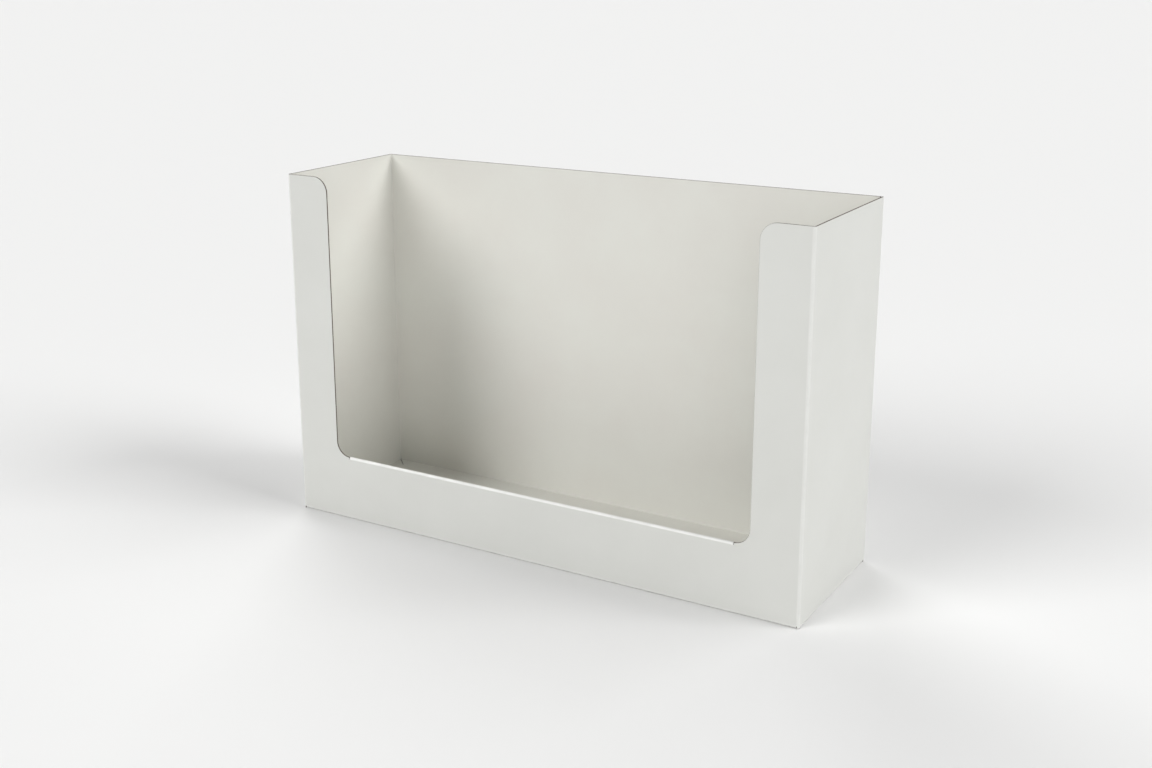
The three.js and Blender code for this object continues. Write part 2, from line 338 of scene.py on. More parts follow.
    def end_flap_outline(self, middle: float) -> Points:
        """Outline of an end flap, hung from v = 0, with u rising and its glued side first.

        Its sides run in at 45 degrees beside the fold. The glued side is then square to the fold, and the
        free one tapers. Both tips are rounded.
        """
        room = self.ramp + self.tab_clearance
        side = self.fold_half - room
        inward = self.line_inward(self.end_line)
        bend = self.board.fold_radius
        corner = self.end_flap_corner
        tab_s = float(inward(np.array(bend + room)))
        tip_s = float(inward(np.array(self.end_flap - self.board.half)))
        folds = np.linspace(self.board.fold_length, tab_s, self.mitre_steps + 1)
        place, _ = self.end_line.at(folds)
        mitre = self.fold_half - (place[:, 0] - bend)
        wide = np.concatenate([[[self.fold_half, 0]], np.stack([mitre, folds], axis=1)])
        free_side = side - self.end_flap_taper
        steps = self.flap_corner_steps
        glued_corner = arc((side - corner, tip_s - corner), corner, 0, 90, steps)
        slope = math.atan2(self.end_flap_taper, tip_s - tab_s)
        turn = math.degrees(slope)
        reach = corner / math.tan((math.pi / 2 + slope) / 2)
        free_centre = (free_side - reach, tip_s - corner)
        free_corner = arc(free_centre, corner, turn, 90, steps)
        loose = np.concatenate([wide, free_corner])
        tight = np.concatenate([wide, glued_corner])
        outline = np.concatenate([tight * [-1, -1], (loose * [1, -1])[::-1]])
        return outline + [middle, 0]

    def line_inward(self, line: FoldLine) -> Callable[[Points], Points]:
        """A function from the distance in from the wall to the arc length on a fold's line."""
        s = np.linspace(0, line.length, FOLD_SAMPLES)
        place, _ = line.at(s)
        return lambda inward: np.interp(inward, place[:, 0], s)

    def window(self) -> Points:
        """Outline of the window and the hem, with u rising from the right stile to the left one.

        The hem is drawn flat, standing up from the rail into the window, as it is on the blank.
        """
        middle = self.u_front(0)
        sill = self.rail - self.base_z
        steps = self.window_corner_steps
        top = self.stile_top_corner
        flare = arc((self.window_half + top, self.top_v - top), top, 90, 180, steps)
        fillet = arc((self.hem_half, sill + self.sill_corner), self.sill_corner, 0, -90, steps)
        hem_side = self.hem_half - self.slit
        knots = self.hem_line.knots
        end = self.hem_v + self.hem_line.length
        bends = self.hem_v + np.linspace(knots[1], knots[4], self.hem_steps + 1)
        side = np.stack([np.full_like(bends, hem_side), bends], axis=1)
        corner_middle = (hem_side - self.hem_corner, end - self.hem_corner)
        corner = arc(corner_middle, self.hem_corner, 0, 90, self.hem_corner_steps)
        slit = np.array([[self.hem_half, self.hem_v - self.slit], [hem_side, self.hem_v - self.slit]])
        half = np.concatenate([flare, fillet, slit, side, corner])
        right = np.stack([middle - half[:, 0], half[:, 1]], axis=1)
        return np.concatenate([right, mirrored(right, middle)])

    def outline(self) -> Points:
        """The blank's outline, anticlockwise: along the bottom with u rising, then back along the top."""
        foot = -self.base_z
        slit = self.slit
        right_middle, left_middle = self.end_middles
        fold_half = self.fold_half
        front_middle, back_middle = self.main_middles

        def post(start: float, stop: float) -> Points:
            """The foot of a corner, between the slits that part it from two flaps."""
            return np.array([[start, 0], [start, foot], [stop, foot], [stop, 0]])

        seam_post = right_middle - fold_half - slit
        flap_start, flap_end = self.flap
        taper = self.seam_flap_taper
        flap_foot = self.seam_flap_foot - self.base_z
        flap_head = self.top_v - self.seam_flap_head
        bottom = [
            np.array([[0, foot], [seam_post, foot], [seam_post, 0]]),
            self.end_flap_outline(right_middle),
            post(right_middle + fold_half + slit, self.front[0]),
            self.main_flap(front_middle, self.front),
            post(self.front[1], left_middle - fold_half - slit),
            self.end_flap_outline(left_middle),
            post(left_middle + fold_half + slit, self.back[0]),
            self.main_flap(back_middle, self.back),
            np.array([[self.back[1], 0], [self.back[1], foot], [flap_start, foot]]),
            np.array([[flap_start, flap_foot], [flap_end, flap_foot + taper]]),
        ]
        top = [
            np.array([[flap_end, flap_head - taper], [flap_start, flap_head], [flap_start, self.top_v]]),
            self.window()[::-1],
            np.array([[0, self.top_v]]),
        ]
        return np.concatenate(bottom + top)

    def parallels(self, across: Points, start: float, stop: float, upright: bool) -> tuple[Points, Points]:
        """Points on parallel fold lines, as a grid: across by along.

        Each line starts and stops just past the sheet's edge, and has a point where the edge's band ends.

        Args:
            across: where each line lies, u for upright lines and v for level ones.
            start, stop: where the lines start and stop.
            upright: whether the lines run along v.

        Returns:
            The points, and the edges that join them along each line.
        """
        band = self.edge_band + self.slit / 2
        count = max(round((stop - start - 2 * band) / self.mesh_step), 1)
        along = np.concatenate([[start], np.linspace(start + band, stop - band, count + 1), [stop]])
        grid = np.stack(np.meshgrid(across, along, indexing="ij"), axis=-1)
        index = np.arange(grid.shape[0] * grid.shape[1]).reshape(grid.shape[:2])
        edges = np.stack([index[:, :-1], index[:, 1:]], axis=-1).reshape(-1, 2)
        return (grid if upright else grid[..., ::-1]).reshape(-1, 2), edges

    def fold_lines(self) -> list[tuple[Points, Points]]:
        """Lines for the mesh to follow: across each fold's arc, and one on each side of it."""
        over = self.slit / 2
        beside = np.array([self.fold_band])
        lines = []
        for before, after in zip(self.walls, self.walls[1:]):
            arc_u = np.linspace(before[1], after[0], self.fold_steps + 1)
            u = np.concatenate([before[1] - beside, arc_u, after[0] + beside])
            lines.append(self.parallels(u, -self.base_z - over, self.top_v + over, True))
        arc_v = np.linspace(-self.board.fold_length, 0, self.fold_steps + 1)
        v = np.concatenate([-self.board.fold_length - beside, arc_v, beside])
        for wall in (self.front, self.back):
            lines.append(self.parallels(v, wall[0] + over, wall[1] - over, False))
        knots = self.end_line.knots
        bends = ((knots[3], knots[4]), (knots[5], knots[6]))
        ramp = np.concatenate([np.linspace(*bend, self.ramp_steps + 1) for bend in bends])
        inward = self.end_line.at(ramp)[0][:, 0] - self.board.fold_radius
        for middle in self.end_middles:
            reach = self.fold_half + over
            lines.append(self.parallels(v, middle - reach, middle + reach, False))
            for s, side in zip(ramp, reach - inward):
                lines.append(self.parallels(np.array([-s]), middle - side, middle + side, False))
        lines += [self.tab_crease_lines(middle) for middle in self.main_middles]
        knots = self.hem_line.knots
        bend = np.linspace(knots[1], knots[4], self.hem_steps + 1)
        v = self.hem_v + np.concatenate([-beside, bend, knots[4] + beside])
        reach = self.hem_half - over
        lines.append(self.parallels(v, self.u_front(0) - reach, self.u_front(0) + reach, False))
        return lines

    def tab_crease_lines(self, middle: float) -> tuple[Points, Points]:
        """Lines on a main flap's slanted crease: corner + t * (-1, -1) + w * (1, -1)."""
        corner = np.array([middle + self.end_x, -self.board.fold_length])
        t = np.linspace(2 * self.crease_width, self.crease_reach, self.crease_steps + 1)
        w = np.array([-1, 0, 1]) * self.crease_width / 2 / math.sqrt(2)
        w, t = np.meshgrid(w, t, indexing="ij")
        index = np.arange(t.size).reshape(t.shape)
        edges = np.stack([index[:, :-1], index[:, 1:]], axis=-1).reshape(-1, 2)
        return np.stack([corner[0] - t + w, corner[1] - t - w], axis=-1).reshape(-1, 2), edges

    def groove(self, uv: Points) -> Points:
        """Depth of the tab creases on the outer side: crease depth * (1 - |w| / half a crease's width)."""
        depth = np.zeros(len(uv))
        for middle in self.main_middles:
            across = uv[:, 0] - middle - self.end_x
            down = -(uv[:, 1] + self.board.fold_length)
            w = np.abs(across + down) / math.sqrt(2)
            t = (down - across) / 2
            pressed = (t > self.crease_width) & (t < self.crease_reach + self.crease_width)
            depth += pressed * self.crease_depth * np.clip(1 - 2 * w / self.crease_width, 0, 1)
        return depth

    def flat_mesh(self) -> tuple[Points, Points]:
        """The blank as flat points and anticlockwise triangles.

        It is a Delaunay mesh of the outline, a row of points one band inside it, the fold lines and an even
        grid, less the triangles whose middles lie outside the outline.
        """
        outline = self.outline()
        edge = spaced(outline, self.edge_step)
        index = np.arange(len(edge))
        points, sides = [edge], [np.stack([index, np.roll(index, -1)], axis=1)]
        total = len(edge)
        for places, along in self.fold_lines():
            points.append(places)
            sides.append(along + total)
            total += len(places)
        lined = np.concatenate(points)
        low, high = outline.min(axis=0), outline.max(axis=0)
        ticks = [np.arange(low[axis], high[axis], self.mesh_step) for axis in (0, 1)]
        grid = np.stack(np.meshgrid(*ticks), axis=-1).reshape(-1, 2)
        band = edge + mitres(edge, np.roll(index, 1), np.roll(index, -1)) * self.edge_band
        band_room = self.band_room * self.edge_band
        grid_room = self.grid_room * self.mesh_step
        for free, room in ((band, band_room), (grid, grid_room)):
            free = free[nearest(free, lined) > room]
            points.append(free[inside(free, outline)])
        flat, _, faces, *_ = delaunay_2d_cdt(
            (np.concatenate(points) / MM).tolist(), np.concatenate(sides).tolist(), [], 0, MERGE_GAP
        )
        flat = np.array(flat) * MM
        faces = np.array(faces)
        faces = faces[inside(flat[faces].mean(axis=1), outline)]
        used, faces = np.unique(faces, return_inverse=True)
        return flat[used], faces.reshape(-1, 3)

    def fold_wear_and_highlight(self, uv: Points) -> Points:
        """How stretched the sheet is, which also sets where the outer face has a painted highlight: 1 in the
        hem's fold, less in square folds, 0 one fold band away.
        """
        u, v = uv[:, 0], uv[:, 1]
        gap = np.full(len(uv), np.inf)
        for before, after in zip(self.walls, self.walls[1:]):
            gap = np.minimum(gap, np.maximum(np.maximum(before[1] - u, u - after[0]), 0))
        bottom = np.maximum(np.maximum(-self.board.fold_length - v, v), 0)
        gap = np.where(u < self.back[1], np.minimum(gap, bottom), gap)
        wear_and_highlight = self.square_fold_wear_and_highlight * np.clip(1 - gap / self.fold_band, 0, 1)
        bend = self.hem_line.knots[4]
        hem = np.maximum(np.maximum(self.hem_v - v, v - self.hem_v - bend), 0)
        hem = np.where(self.in_hem_width(u), hem, np.inf)
        return np.maximum(wear_and_highlight, np.clip(1 - hem / self.fold_band, 0, 1))

    def in_hem_width(self, u: Points) -> Points:
        """True where u lies within the hem's width."""
        return np.abs(u - self.u_front(0)) < self.hem_half - self.slit / 2

    def zones(self, uv: Points) -> tuple[Points, Points, Points]:
        """Which points lie in the hem, on a main flap and on an end flap, as three masks."""
        u, v = uv[:, 0], uv[:, 1]
        edge = self.slit / 2
        hem = (v > self.hem_v) & self.in_hem_width(u)
        main = np.zeros(len(uv), bool)
        for wall in (self.front, self.back):
            main |= (u > wall[0] + edge) & (u < wall[1] - edge)
        end = np.zeros(len(uv), bool)
        for middle in self.end_middles:
            end |= np.abs(u - middle) < self.fold_half + edge
        return hem, main & (v < 0), end & (v < 0)

    def bow(self, plan: Points, out: Points, height: Points) -> Points:
        """How far the walls bow in: depth * (1 - t^2) * height / box height.

        Along each wall, t runs from -1 to 1.
        """
        side = np.abs(out[:, 0]) > np.abs(out[:, 1])
        t = np.where(side, plan[:, 1] / self.half_d, plan[:, 0] / self.half_w)
        ways = np.concatenate([np.clip(out, 0, None), np.clip(-out, 0, None)], axis=1)
        depth = ways @ np.array([self.right_bow, self.back_bow, self.left_bow, self.front_bow])
        return depth * np.clip(1 - t * t, 0, 1) * np.clip(height / self.height, 0, 1)

    def fold_up(self, uv: Points, lift: Points) -> Points:
        """The folded place of points of the blank.

        A fold line gives how far in from the wall, a, and how high, b, a point of the sheet's middle lies.
        The sheet's outer side there is n, so the place is (a, b) + lift * n, which in the box is
        plan(u) - a * out at height b.

        Args:
            uv: points of the blank, one row each.
            lift: height of each point above the sheet's middle, towards its outer side.
        """
        plan, out = self.plan.at(uv[:, 0])
        v = uv[:, 1]
        section = np.stack([np.zeros(len(uv)), v + self.base_z], axis=1)
        outer_side = np.tile([-1.0, 0.0], (len(uv), 1))
        hem, main, end = self.zones(uv)
        for mask, line, s, side in (
            (hem, self.hem_line, v - self.hem_v, 1),
            (main, self.main_line, -v, -1),
            (end, self.end_line, -v, -1),
        ):
            section[mask], left = line.at(s[mask])
            outer_side[mask] = side * left
        section = section + outer_side * lift[:, None]
        inward = section[:, 0] + self.bow(plan, out, section[:, 1])
        return np.column_stack([plan - out * inward[:, None], section[:, 1]])

    def build(self, finishes: dict[Face, bpy.types.Material]) -> bpy.types.Object:
        """Makes the folded box as one closed mesh.

        Both faces of the sheet are the flat mesh, folded half a board out and half a board in. Their edges
        are drawn in by the edge's rounding, and two rows of points between them make the cut edge.
        """
        board = self.board
        flat, faces = self.flat_mesh()
        count = len(flat)
        rim, before, after = rim_of(faces, count)
        drawn = flat.copy()
        drawn[rim] += mitres(flat, before, after, rim) * board.edge_round
        wall = board.half - board.edge_round
        rows = (
            (drawn, board.half - self.groove(drawn)),
            (drawn, np.full(count, -board.half)),
            (flat[rim], np.full(len(rim), wall)),
            (flat[rim], np.full(len(rim), -wall)),
        )
        places = np.concatenate([self.fold_up(flat_uv, lift) for flat_uv, lift in rows])
        uv = np.concatenate([flat_uv for flat_uv, _ in rows])
        ply = np.concatenate([lift for _, lift in rows]) / board.half
        edge = np.zeros(count)
        edge[rim] = 1
        edge = np.concatenate([edge, edge, np.ones(2 * len(rim))])
        near = np.arange(len(rim))
        where = np.zeros(count, int)
        where[rim] = near
        far = where[after[rim]]
        rings = np.stack([rim, near + 2 * count, near + 2 * count + len(rim), rim + count])
        upper, lower = rings[:-1], rings[1:]
        quads = np.stack([upper, upper[:, far], lower[:, far], lower], axis=-1).reshape(-1, 4)
        triangles = np.concatenate([faces[:, ::-1], faces + count])
        kinds = np.repeat([face.value for face in Face], [len(faces), len(faces), len(quads)])
        log.info("blank: %d points on each face, %d along its edge", count, len(rim))
        mesh = new_mesh("display_box", places, [triangles, quads], kinds)
        for name, values in (("ply", ply), ("edge", edge), ("fold", self.fold_wear_and_highlight(uv))):
            mesh.attributes.new(name, "FLOAT", "POINT").data.foreach_set("value", values)
        set_uv(mesh, "sheet", uv)
        for face in Face:
            mesh.materials.append(finishes[face])
        box = bpy.data.objects.new("display_box", mesh)
        bpy.context.scene.collection.objects.link(box)
        return box


def spaced(outline: Points, step: float) -> Points:
    """A closed outline with points added along each side, none of them further apart than step."""
    side = np.roll(outline, -1, axis=0) - outline
    counts = np.ceil(np.linalg.norm(side, axis=1) / step).astype(int)
    index = np.repeat(np.arange(len(outline)), counts)
    first = np.repeat(np.cumsum(counts) - counts, counts)
    t = (np.arange(len(index)) - first) / counts[index]
    return outline[index] + side[index] * t[:, None]


def inside(points: Points, outline: Points) -> Points:
    """True for each point from which a line towards rising u crosses the outline an odd number of times."""
    after = np.roll(outline, -1, axis=0)
    rise = after[:, 1] - outline[:, 1]
    slope = (after[:, 0] - outline[:, 0]) / np.where(rise == 0, 1, rise)
    v = points[:, 1, None]
    spans = (outline[:, 1] > v) != (after[:, 1] > v)
    crossing = outline[:, 0] + (v - outline[:, 1]) * slope
    return np.count_nonzero(spans & (points[:, 0, None] < crossing), axis=1) % 2 == 1


def nearest(points: Points, others: Points) -> Points:
    """Distance from each point p to the nearest other, q, from |p - q|^2 = |p|^2 + |q|^2 - 2 p.q."""
    rest = np.sum(others**2, axis=1) - 2 * points @ others.T
    return np.sqrt(np.maximum(np.sum(points**2, axis=1) + rest.min(axis=1), 0))


def mitres(points: Points, before: Points, after: Points, chosen: Points | None = None) -> Points:
    """Inward steps at an outline's points that move each of its sides in by one: (n1 + n2) / (1 + n1.n2).

    The index of the point before and after each is given. Only chosen points have a step, or all if none
    are chosen. It is cut short where the outline turns sharply.
    """
    at = np.arange(len(points)) if chosen is None else chosen
    ways = [points[at] - points[before[at]], points[after[at]] - points[at]]
    normals = []
    for way in ways:
        way = way / np.linalg.norm(way, axis=1, keepdims=True)
        normals.append(np.stack([-way[:, 1], way[:, 0]], axis=1))
    share = 1 + np.sum(normals[0] * normals[1], axis=1, keepdims=True)
    return (normals[0] + normals[1]) / np.maximum(share, 2 / LONGEST_MITRE**2)


def rim_of(faces: Points, count: int) -> tuple[Points, Points, Points]:
    """The edge of a flat mesh: sides that only one triangle has.

    Returns:
        The points on the edge, and for every point the one before it and after it, itself if it is inside.
    """
    sides = np.concatenate([faces[:, [0, 1]], faces[:, [1, 2]], faces[:, [2, 0]]])
    code = sides[:, 0] * count + sides[:, 1]
    back = sides[:, 1] * count + sides[:, 0]
    sides = sides[~np.isin(code, back)]
    before, after = np.arange(count), np.arange(count)
    after[sides[:, 0]] = sides[:, 1]
    before[sides[:, 1]] = sides[:, 0]
    return sides[:, 0], before, after


def new_mesh(name: str, places: Points, polygons: Sequence[Points], kinds: Points) -> bpy.types.Mesh:
    """A mesh of smooth polygons with sharp edges where they meet at more than a third of a right angle.

    All polygons in one array have the same number of corners. Their kinds are their material indices.
    """
    mesh = bpy.data.meshes.new(name)
    corners = np.concatenate([group.ravel() for group in polygons])
    sizes = np.concatenate([np.full(len(group), group.shape[1]) for group in polygons])
    mesh.vertices.add(len(places))
    mesh.vertices.foreach_set("co", places.ravel().astype(np.float32))
    mesh.loops.add(len(corners))
    mesh.loops.foreach_set("vertex_index", corners.astype(np.int32))
    mesh.polygons.add(len(sizes))
    mesh.polygons.foreach_set("loop_start", (np.cumsum(sizes) - sizes).astype(np.int32))
    mesh.polygons.foreach_set("material_index", kinds.astype(np.int32))
    mesh.polygons.foreach_set("use_smooth", np.ones(len(sizes), bool))
    mesh.update(calc_edges=True)
    mesh.set_sharp_from_angle(angle=SHARP_ANGLE)
    return mesh


def set_uv(mesh: bpy.types.Mesh, name: str, uv: Points) -> None:
    """Gives a mesh a UV map from one pair of coordinates for each of its points."""
    index = np.zeros(len(mesh.loops), np.int32)
    mesh.loops.foreach_get("vertex_index", index)
    mesh.uv_layers.new(name=name).data.foreach_set("uv", uv[index].ravel().astype(np.float32))


class Nodes:
    """A node tree that is filled one node at a time.

    A Mix node has sockets of the same name for each kind of value, so those for colours go by number.
    """

    MIX_SHARE, MIX_FIRST, MIX_SECOND = 0, 6, 7
    MIX_COLOR = 2

    def __init__(self, tree: bpy.types.NodeTree) -> None:
        """Starts on an empty tree."""
        self.tree = tree
        tree.nodes.clear()

    def feed(self, node: bpy.types.Node, inputs: dict[str | int, Feed]) -> None:
        """Links or sets each of these sockets of a node, or leaves it as it is where None is given."""
        for name, value in inputs.items():
            if isinstance(value, Socket):
                self.tree.links.new(value, node.inputs[name])
            elif value is not None:
                node.inputs[name].default_value = value

    def add(
        self, kind: str, inputs: dict[str | int, Feed] | None = None, **settings: object
    ) -> bpy.types.Node:
        """Adds a node.

        Args:
            kind: the node's type, less its "ShaderNode".
            inputs: what goes into each socket: a value, or another node's output.
            settings: the node's own properties.
        """
        node = self.tree.nodes.new("ShaderNode" + kind)
        for name, value in settings.items():
            setattr(node, name, value)
        self.feed(node, inputs or {})
        return node

    def group(self, tree: bpy.types.NodeTree, **inputs: Feed) -> bpy.types.Node:
        """Adds a node group, with what goes into each of its sockets."""
        return self.add("Group", inputs, node_tree=tree)

    def entry(self, *names: str) -> list[Socket]:
        """Adds a group's entry, and gives its sockets of these names."""
        outputs = self.tree.nodes.new("NodeGroupInput").outputs
        return [outputs[name] for name in names]

    def give(self, results: dict[str, Socket]) -> bpy.types.NodeTree:
        """Adds a group's exit with its results, and gives the group."""
        self.feed(self.tree.nodes.new("NodeGroupOutput"), results)
        return self.tree

    def shade(self, color: Feed, roughness: Feed, specular: float, normal: Socket | None = None) -> None:
        """Ends a material with its shader."""
        surface = {"Base Color": color, "Roughness": roughness, "Specular IOR Level": specular}
        shader = self.add("BsdfPrincipled", {**surface, "Normal": normal})
        self.add("OutputMaterial", {"Surface": shader.outputs[0]})

    def noise(self, vector: Socket, scale: Feed, **grain: float) -> Socket:
        """Adds a noise texture of some Detail, Roughness and Distortion, and gives its value."""
        return self.add("TexNoise", {"Vector": vector, "Scale": scale, **grain}).outputs[0]

    def blend(self, share: Feed, first: Feed, second: Feed) -> Socket:
        """Mixes two colours by a share."""
        inputs = {self.MIX_SHARE: share, self.MIX_FIRST: first, self.MIX_SECOND: second}
        return self.add("Mix", inputs, data_type="RGBA").outputs[self.MIX_COLOR]

    def ramp(self, value: Socket, span: Span, to: Span = (0, 1)) -> Socket:
        """Maps a value's span to another, without going past its ends."""
        ends = {"From Min": span[0], "From Max": span[1], "To Min": to[0], "To Max": to[1]}
        return self.add("MapRange", {"Value": value, **ends}).outputs["Result"]

    def math(self, operation: str, first: Feed, second: Feed = 0.0) -> Socket:
        """Adds, multiplies or otherwise joins two values."""
        return self.add("Math", {0: first, 1: second}, operation=operation).outputs[0]

    def bump(self, height: Socket, depth: float, normal: Socket | None = None) -> Socket:
        """Raises a surface by up to a depth, on top of an earlier bump if there is one."""
        inputs = {"Height": height, "Distance": depth, "Strength": 1.0, "Normal": normal}
        return self.add("Bump", inputs).outputs[0]


def new_group(name: str, inputs: dict[str, str], outputs: dict[str, str]) -> Nodes:
    """An empty node group, given the name and kind, such as Float, of each input and output."""
    tree = bpy.data.node_groups.new(name, "ShaderNodeTree")
    for sockets, way in ((inputs, "INPUT"), (outputs, "OUTPUT")):
        for socket, kind in sockets.items():
            tree.interface.new_socket(name=socket, in_out=way, socket_type="NodeSocket" + kind)
    return Nodes(tree)


def new_material(name: str) -> tuple[bpy.types.Material, Nodes]:
    """An empty material, and the Nodes to fill it with."""
    material = bpy.data.materials.new(name)
    material.use_nodes = True
    return material, Nodes(material.node_tree)


@dataclass
class BoardEffects:
    """Shader node groups that the three surfaces of the board share.

    Of each noise, the span of values in which most of it lies is spread from 0 to 1. Scales are in cells
    per metre.
    """

    fibre_span: Span = (0.3, 0.7)
    cloud_span: Span = (0.32, 0.68)
    patch_span: Span = (0.35, 0.65)
    grain: tuple[float, float, float] = (1, 0.22, 1)
    tooth_fineness: float = 2.3
    fibre_share: float = 0.6
    patch_scale: float = 90
    # The least share also sets how strong the painted highlight on the folds is.
    least_patch_share: float = 0.6
    strip_power: float = 1.5

    def __post_init__(self) -> None:
        """Builds each group once."""
        self.fibre = self.fibre_group()
        self.mottle = self.mottle_group()
        self.wear_and_highlight = self.wear_and_highlight_group()

    def fibre_group(self) -> bpy.types.NodeTree:
        """Short fibres that lie mostly along the board's grain, over a fine even tooth."""
        nodes = new_group("paper_fibre", {"Vector": "Vector", "Scale": "Float"}, {"Fibre": "Float"})
        vector, scale = nodes.entry("Vector", "Scale")
        along = nodes.add("Mapping", {"Vector": vector, "Scale": self.grain}).outputs[0]
        fibres = nodes.noise(along, scale, Detail=4, Roughness=0.7, Distortion=1.2)
        fibres = nodes.math("MULTIPLY", fibres, self.fibre_share)
        tooth = nodes.noise(vector, nodes.math("MULTIPLY", scale, self.tooth_fineness), Detail=3)
        tooth = nodes.math("MULTIPLY", tooth, 1 - self.fibre_share)
        return nodes.give({"Fibre": nodes.ramp(nodes.math("ADD", fibres, tooth), self.fibre_span)})

    def mottle_group(self) -> bpy.types.NodeTree:
        """Broad, cloudy variation, as coating and pulp have."""
        nodes = new_group("cloudy_mottle", {"Vector": "Vector", "Scale": "Float"}, {"Cloud": "Float"})
        cloud = nodes.noise(*nodes.entry("Vector", "Scale"), Detail=5, Roughness=0.55)
        return nodes.give({"Cloud": nodes.ramp(cloud, self.cloud_span)})

    def wear_and_highlight_group(self) -> bpy.types.NodeTree:
        """Masks for the soiled strips beside cut edges and for the strips on folds, broken up by noise. On
        the outer face the fold strips are partly whitened coat and partly a painted highlight.
        """
        masks = {"Edge": "Float", "Fold": "Float"}
        nodes = new_group("soil_and_highlight_masks", {"Vector": "Vector", **masks}, masks)
        vector, *strips = nodes.entry("Vector", *masks)
        patches = nodes.noise(vector, self.patch_scale, Detail=4)
        share = nodes.ramp(patches, self.patch_span, (self.least_patch_share, 1))
        powers = [nodes.math("POWER", strip, self.strip_power) for strip in strips]
        return nodes.give({name: nodes.math("MULTIPLY", power, share) for name, power in zip(masks, powers)})


@dataclass(frozen=True)
class PaperFace:
    """A coated or bare face of the board: colour, gloss and texture, with scales in cells per metre."""

    name: str
    color: Color
    cloud_color: Color
    fold_color: Color
    roughness: float
    roughness_spread: float
    fibre_depth: float
    waviness: float
    fold_light: float
    soil_color: Color = (0.45, 0.43, 0.40)
    edge_soil: float = 0.25
    fleck_share: float = 0.16
    specular: float = 0.4
    fibre_scale: float = 900
    cloud_scale: float = 22
    wave_scale: float = 14

    def build(self, effects: BoardEffects) -> bpy.types.Material:
        """Makes the material, with its pattern on the sheet's own flat coordinates."""
        material, nodes = new_material(self.name)
        sheet = nodes.add("UVMap", uv_map="sheet").outputs[0]
        edge = nodes.add("Attribute", attribute_name="edge").outputs["Fac"]
        fold = nodes.add("Attribute", attribute_name="fold").outputs["Fac"]
        fibre = nodes.group(effects.fibre, Vector=sheet, Scale=self.fibre_scale).outputs[0]
        cloud = nodes.group(effects.mottle, Vector=sheet, Scale=self.cloud_scale).outputs[0]
        wave = nodes.group(effects.mottle, Vector=sheet, Scale=self.wave_scale).outputs[0]
        wear_and_highlight = nodes.group(effects.wear_and_highlight, Vector=sheet, Edge=edge, Fold=fold).outputs
        flecks = nodes.math("MULTIPLY", fibre, self.fleck_share)
        # Mixes in the fold colour: on the outer face partly whitening of the stretched coat and partly a
        # painted highlight, on the inner face a little darker.
        fold_tint = nodes.math("MULTIPLY", wear_and_highlight["Fold"], self.fold_light)
        soiled = nodes.math("MULTIPLY", wear_and_highlight["Edge"], self.edge_soil)
        color = nodes.blend(cloud, (*self.color, 1), (*self.cloud_color, 1))
        color = nodes.blend(flecks, color, (*self.cloud_color, 1))
        color = nodes.blend(fold_tint, color, (*self.fold_color, 1))
        color = nodes.blend(soiled, color, (*self.soil_color, 1))
        gloss = (self.roughness - self.roughness_spread, self.roughness + self.roughness_spread)
        normal = nodes.bump(fibre, self.fibre_depth, nodes.bump(wave, self.waviness))
        nodes.shade(color, nodes.ramp(fibre, (0, 1), gloss), self.specular, normal)
        return material


@dataclass(frozen=True)
class CutEdge:
    """The raw edge that the die leaves: grey pulp in layers between two white coats. The pulp colours are
    darker than the pulp itself, partly painted shade along the edge.

    Where the board lies is its ply value, from -1 inside to 1 outside. Scales are in cells per metre.
    """

    name: str = "cut_board_edge"
    # Both pulp colours are darkened past the pulp's own grey, as painted shade along the cut edge.
    pulp_and_shade_color: Color = (0.135, 0.112, 0.094)
    dark_color: Color = (0.07, 0.058, 0.05)
    coat_color: Color = (0.52, 0.51, 0.48)
    coat_span: Span = (0.86, 0.98)
    layer_count: float = 5
    layer_scale: float = 60
    fleck_span: Span = (0.3, 1)
    fleck_share: float = 0.5
    fibre_scale: float = 1400
    fibre_depth: float = 0.05 * MM
    roughness: float = 0.9
    specular: float = 0.2

    def build(self, effects: BoardEffects) -> bpy.types.Material:
        """Makes the material."""
        material, nodes = new_material(self.name)
        sheet = nodes.add("UVMap", uv_map="sheet").outputs[0]
        ply = nodes.add("Attribute", attribute_name="ply").outputs["Fac"]
        fibre = nodes.group(effects.fibre, Vector=sheet, Scale=self.fibre_scale).outputs[0]
        across = nodes.add("CombineXYZ", {"Y": nodes.math("MULTIPLY", ply, self.layer_count)})
        along = nodes.add("VectorMath", {0: sheet, 1: (self.layer_scale,) * 3}, operation="MULTIPLY")
        place = nodes.add("VectorMath", {0: along.outputs[0], 1: across.outputs[0]}, operation="ADD")
        layers = nodes.noise(place.outputs[0], 1.0, Detail=3)
        flecks = nodes.ramp(fibre, self.fleck_span, (0, self.fleck_share))
        coat = nodes.ramp(nodes.math("ABSOLUTE", ply), self.coat_span)
        color = nodes.blend(layers, (*self.dark_color, 1), (*self.pulp_and_shade_color, 1))
        color = nodes.blend(flecks, color, (*self.pulp_and_shade_color, 1))
        color = nodes.blend(coat, color, (*self.coat_color, 1))
        nodes.shade(color, self.roughness, self.specular, nodes.bump(fibre, self.fibre_depth))
        return material


@dataclass(frozen=True)
class Lamp:
    """A soft distant lamp.

    Azimuth is 0 in front of the box and 90 at its right. Azimuth, elevation and the width that the lamp
    seems to have are in degrees. The strength is what falls on a surface that faces it, in watts per square
    metre.
    """

    name: str
    azimuth: float
    elevation: float
    strength: float
    width: float

    def build(self) -> None:
        """Makes the lamp, turned so that it shines from its direction."""
        light = bpy.data.lights.new(self.name, "SUN")
        light.energy = self.strength
        light.angle = math.radians(self.width)
        lamp = bpy.data.objects.new(self.name, light)
        azimuth, elevation = math.radians(self.azimuth), math.radians(self.elevation)
        level = math.cos(elevation)
        towards = Vector((level * math.sin(azimuth), -level * math.cos(azimuth), math.sin(elevation)))
        lamp.rotation_euler = towards.to_track_quat("Z", "Y").to_euler()
        bpy.context.scene.collection.objects.link(lamp)


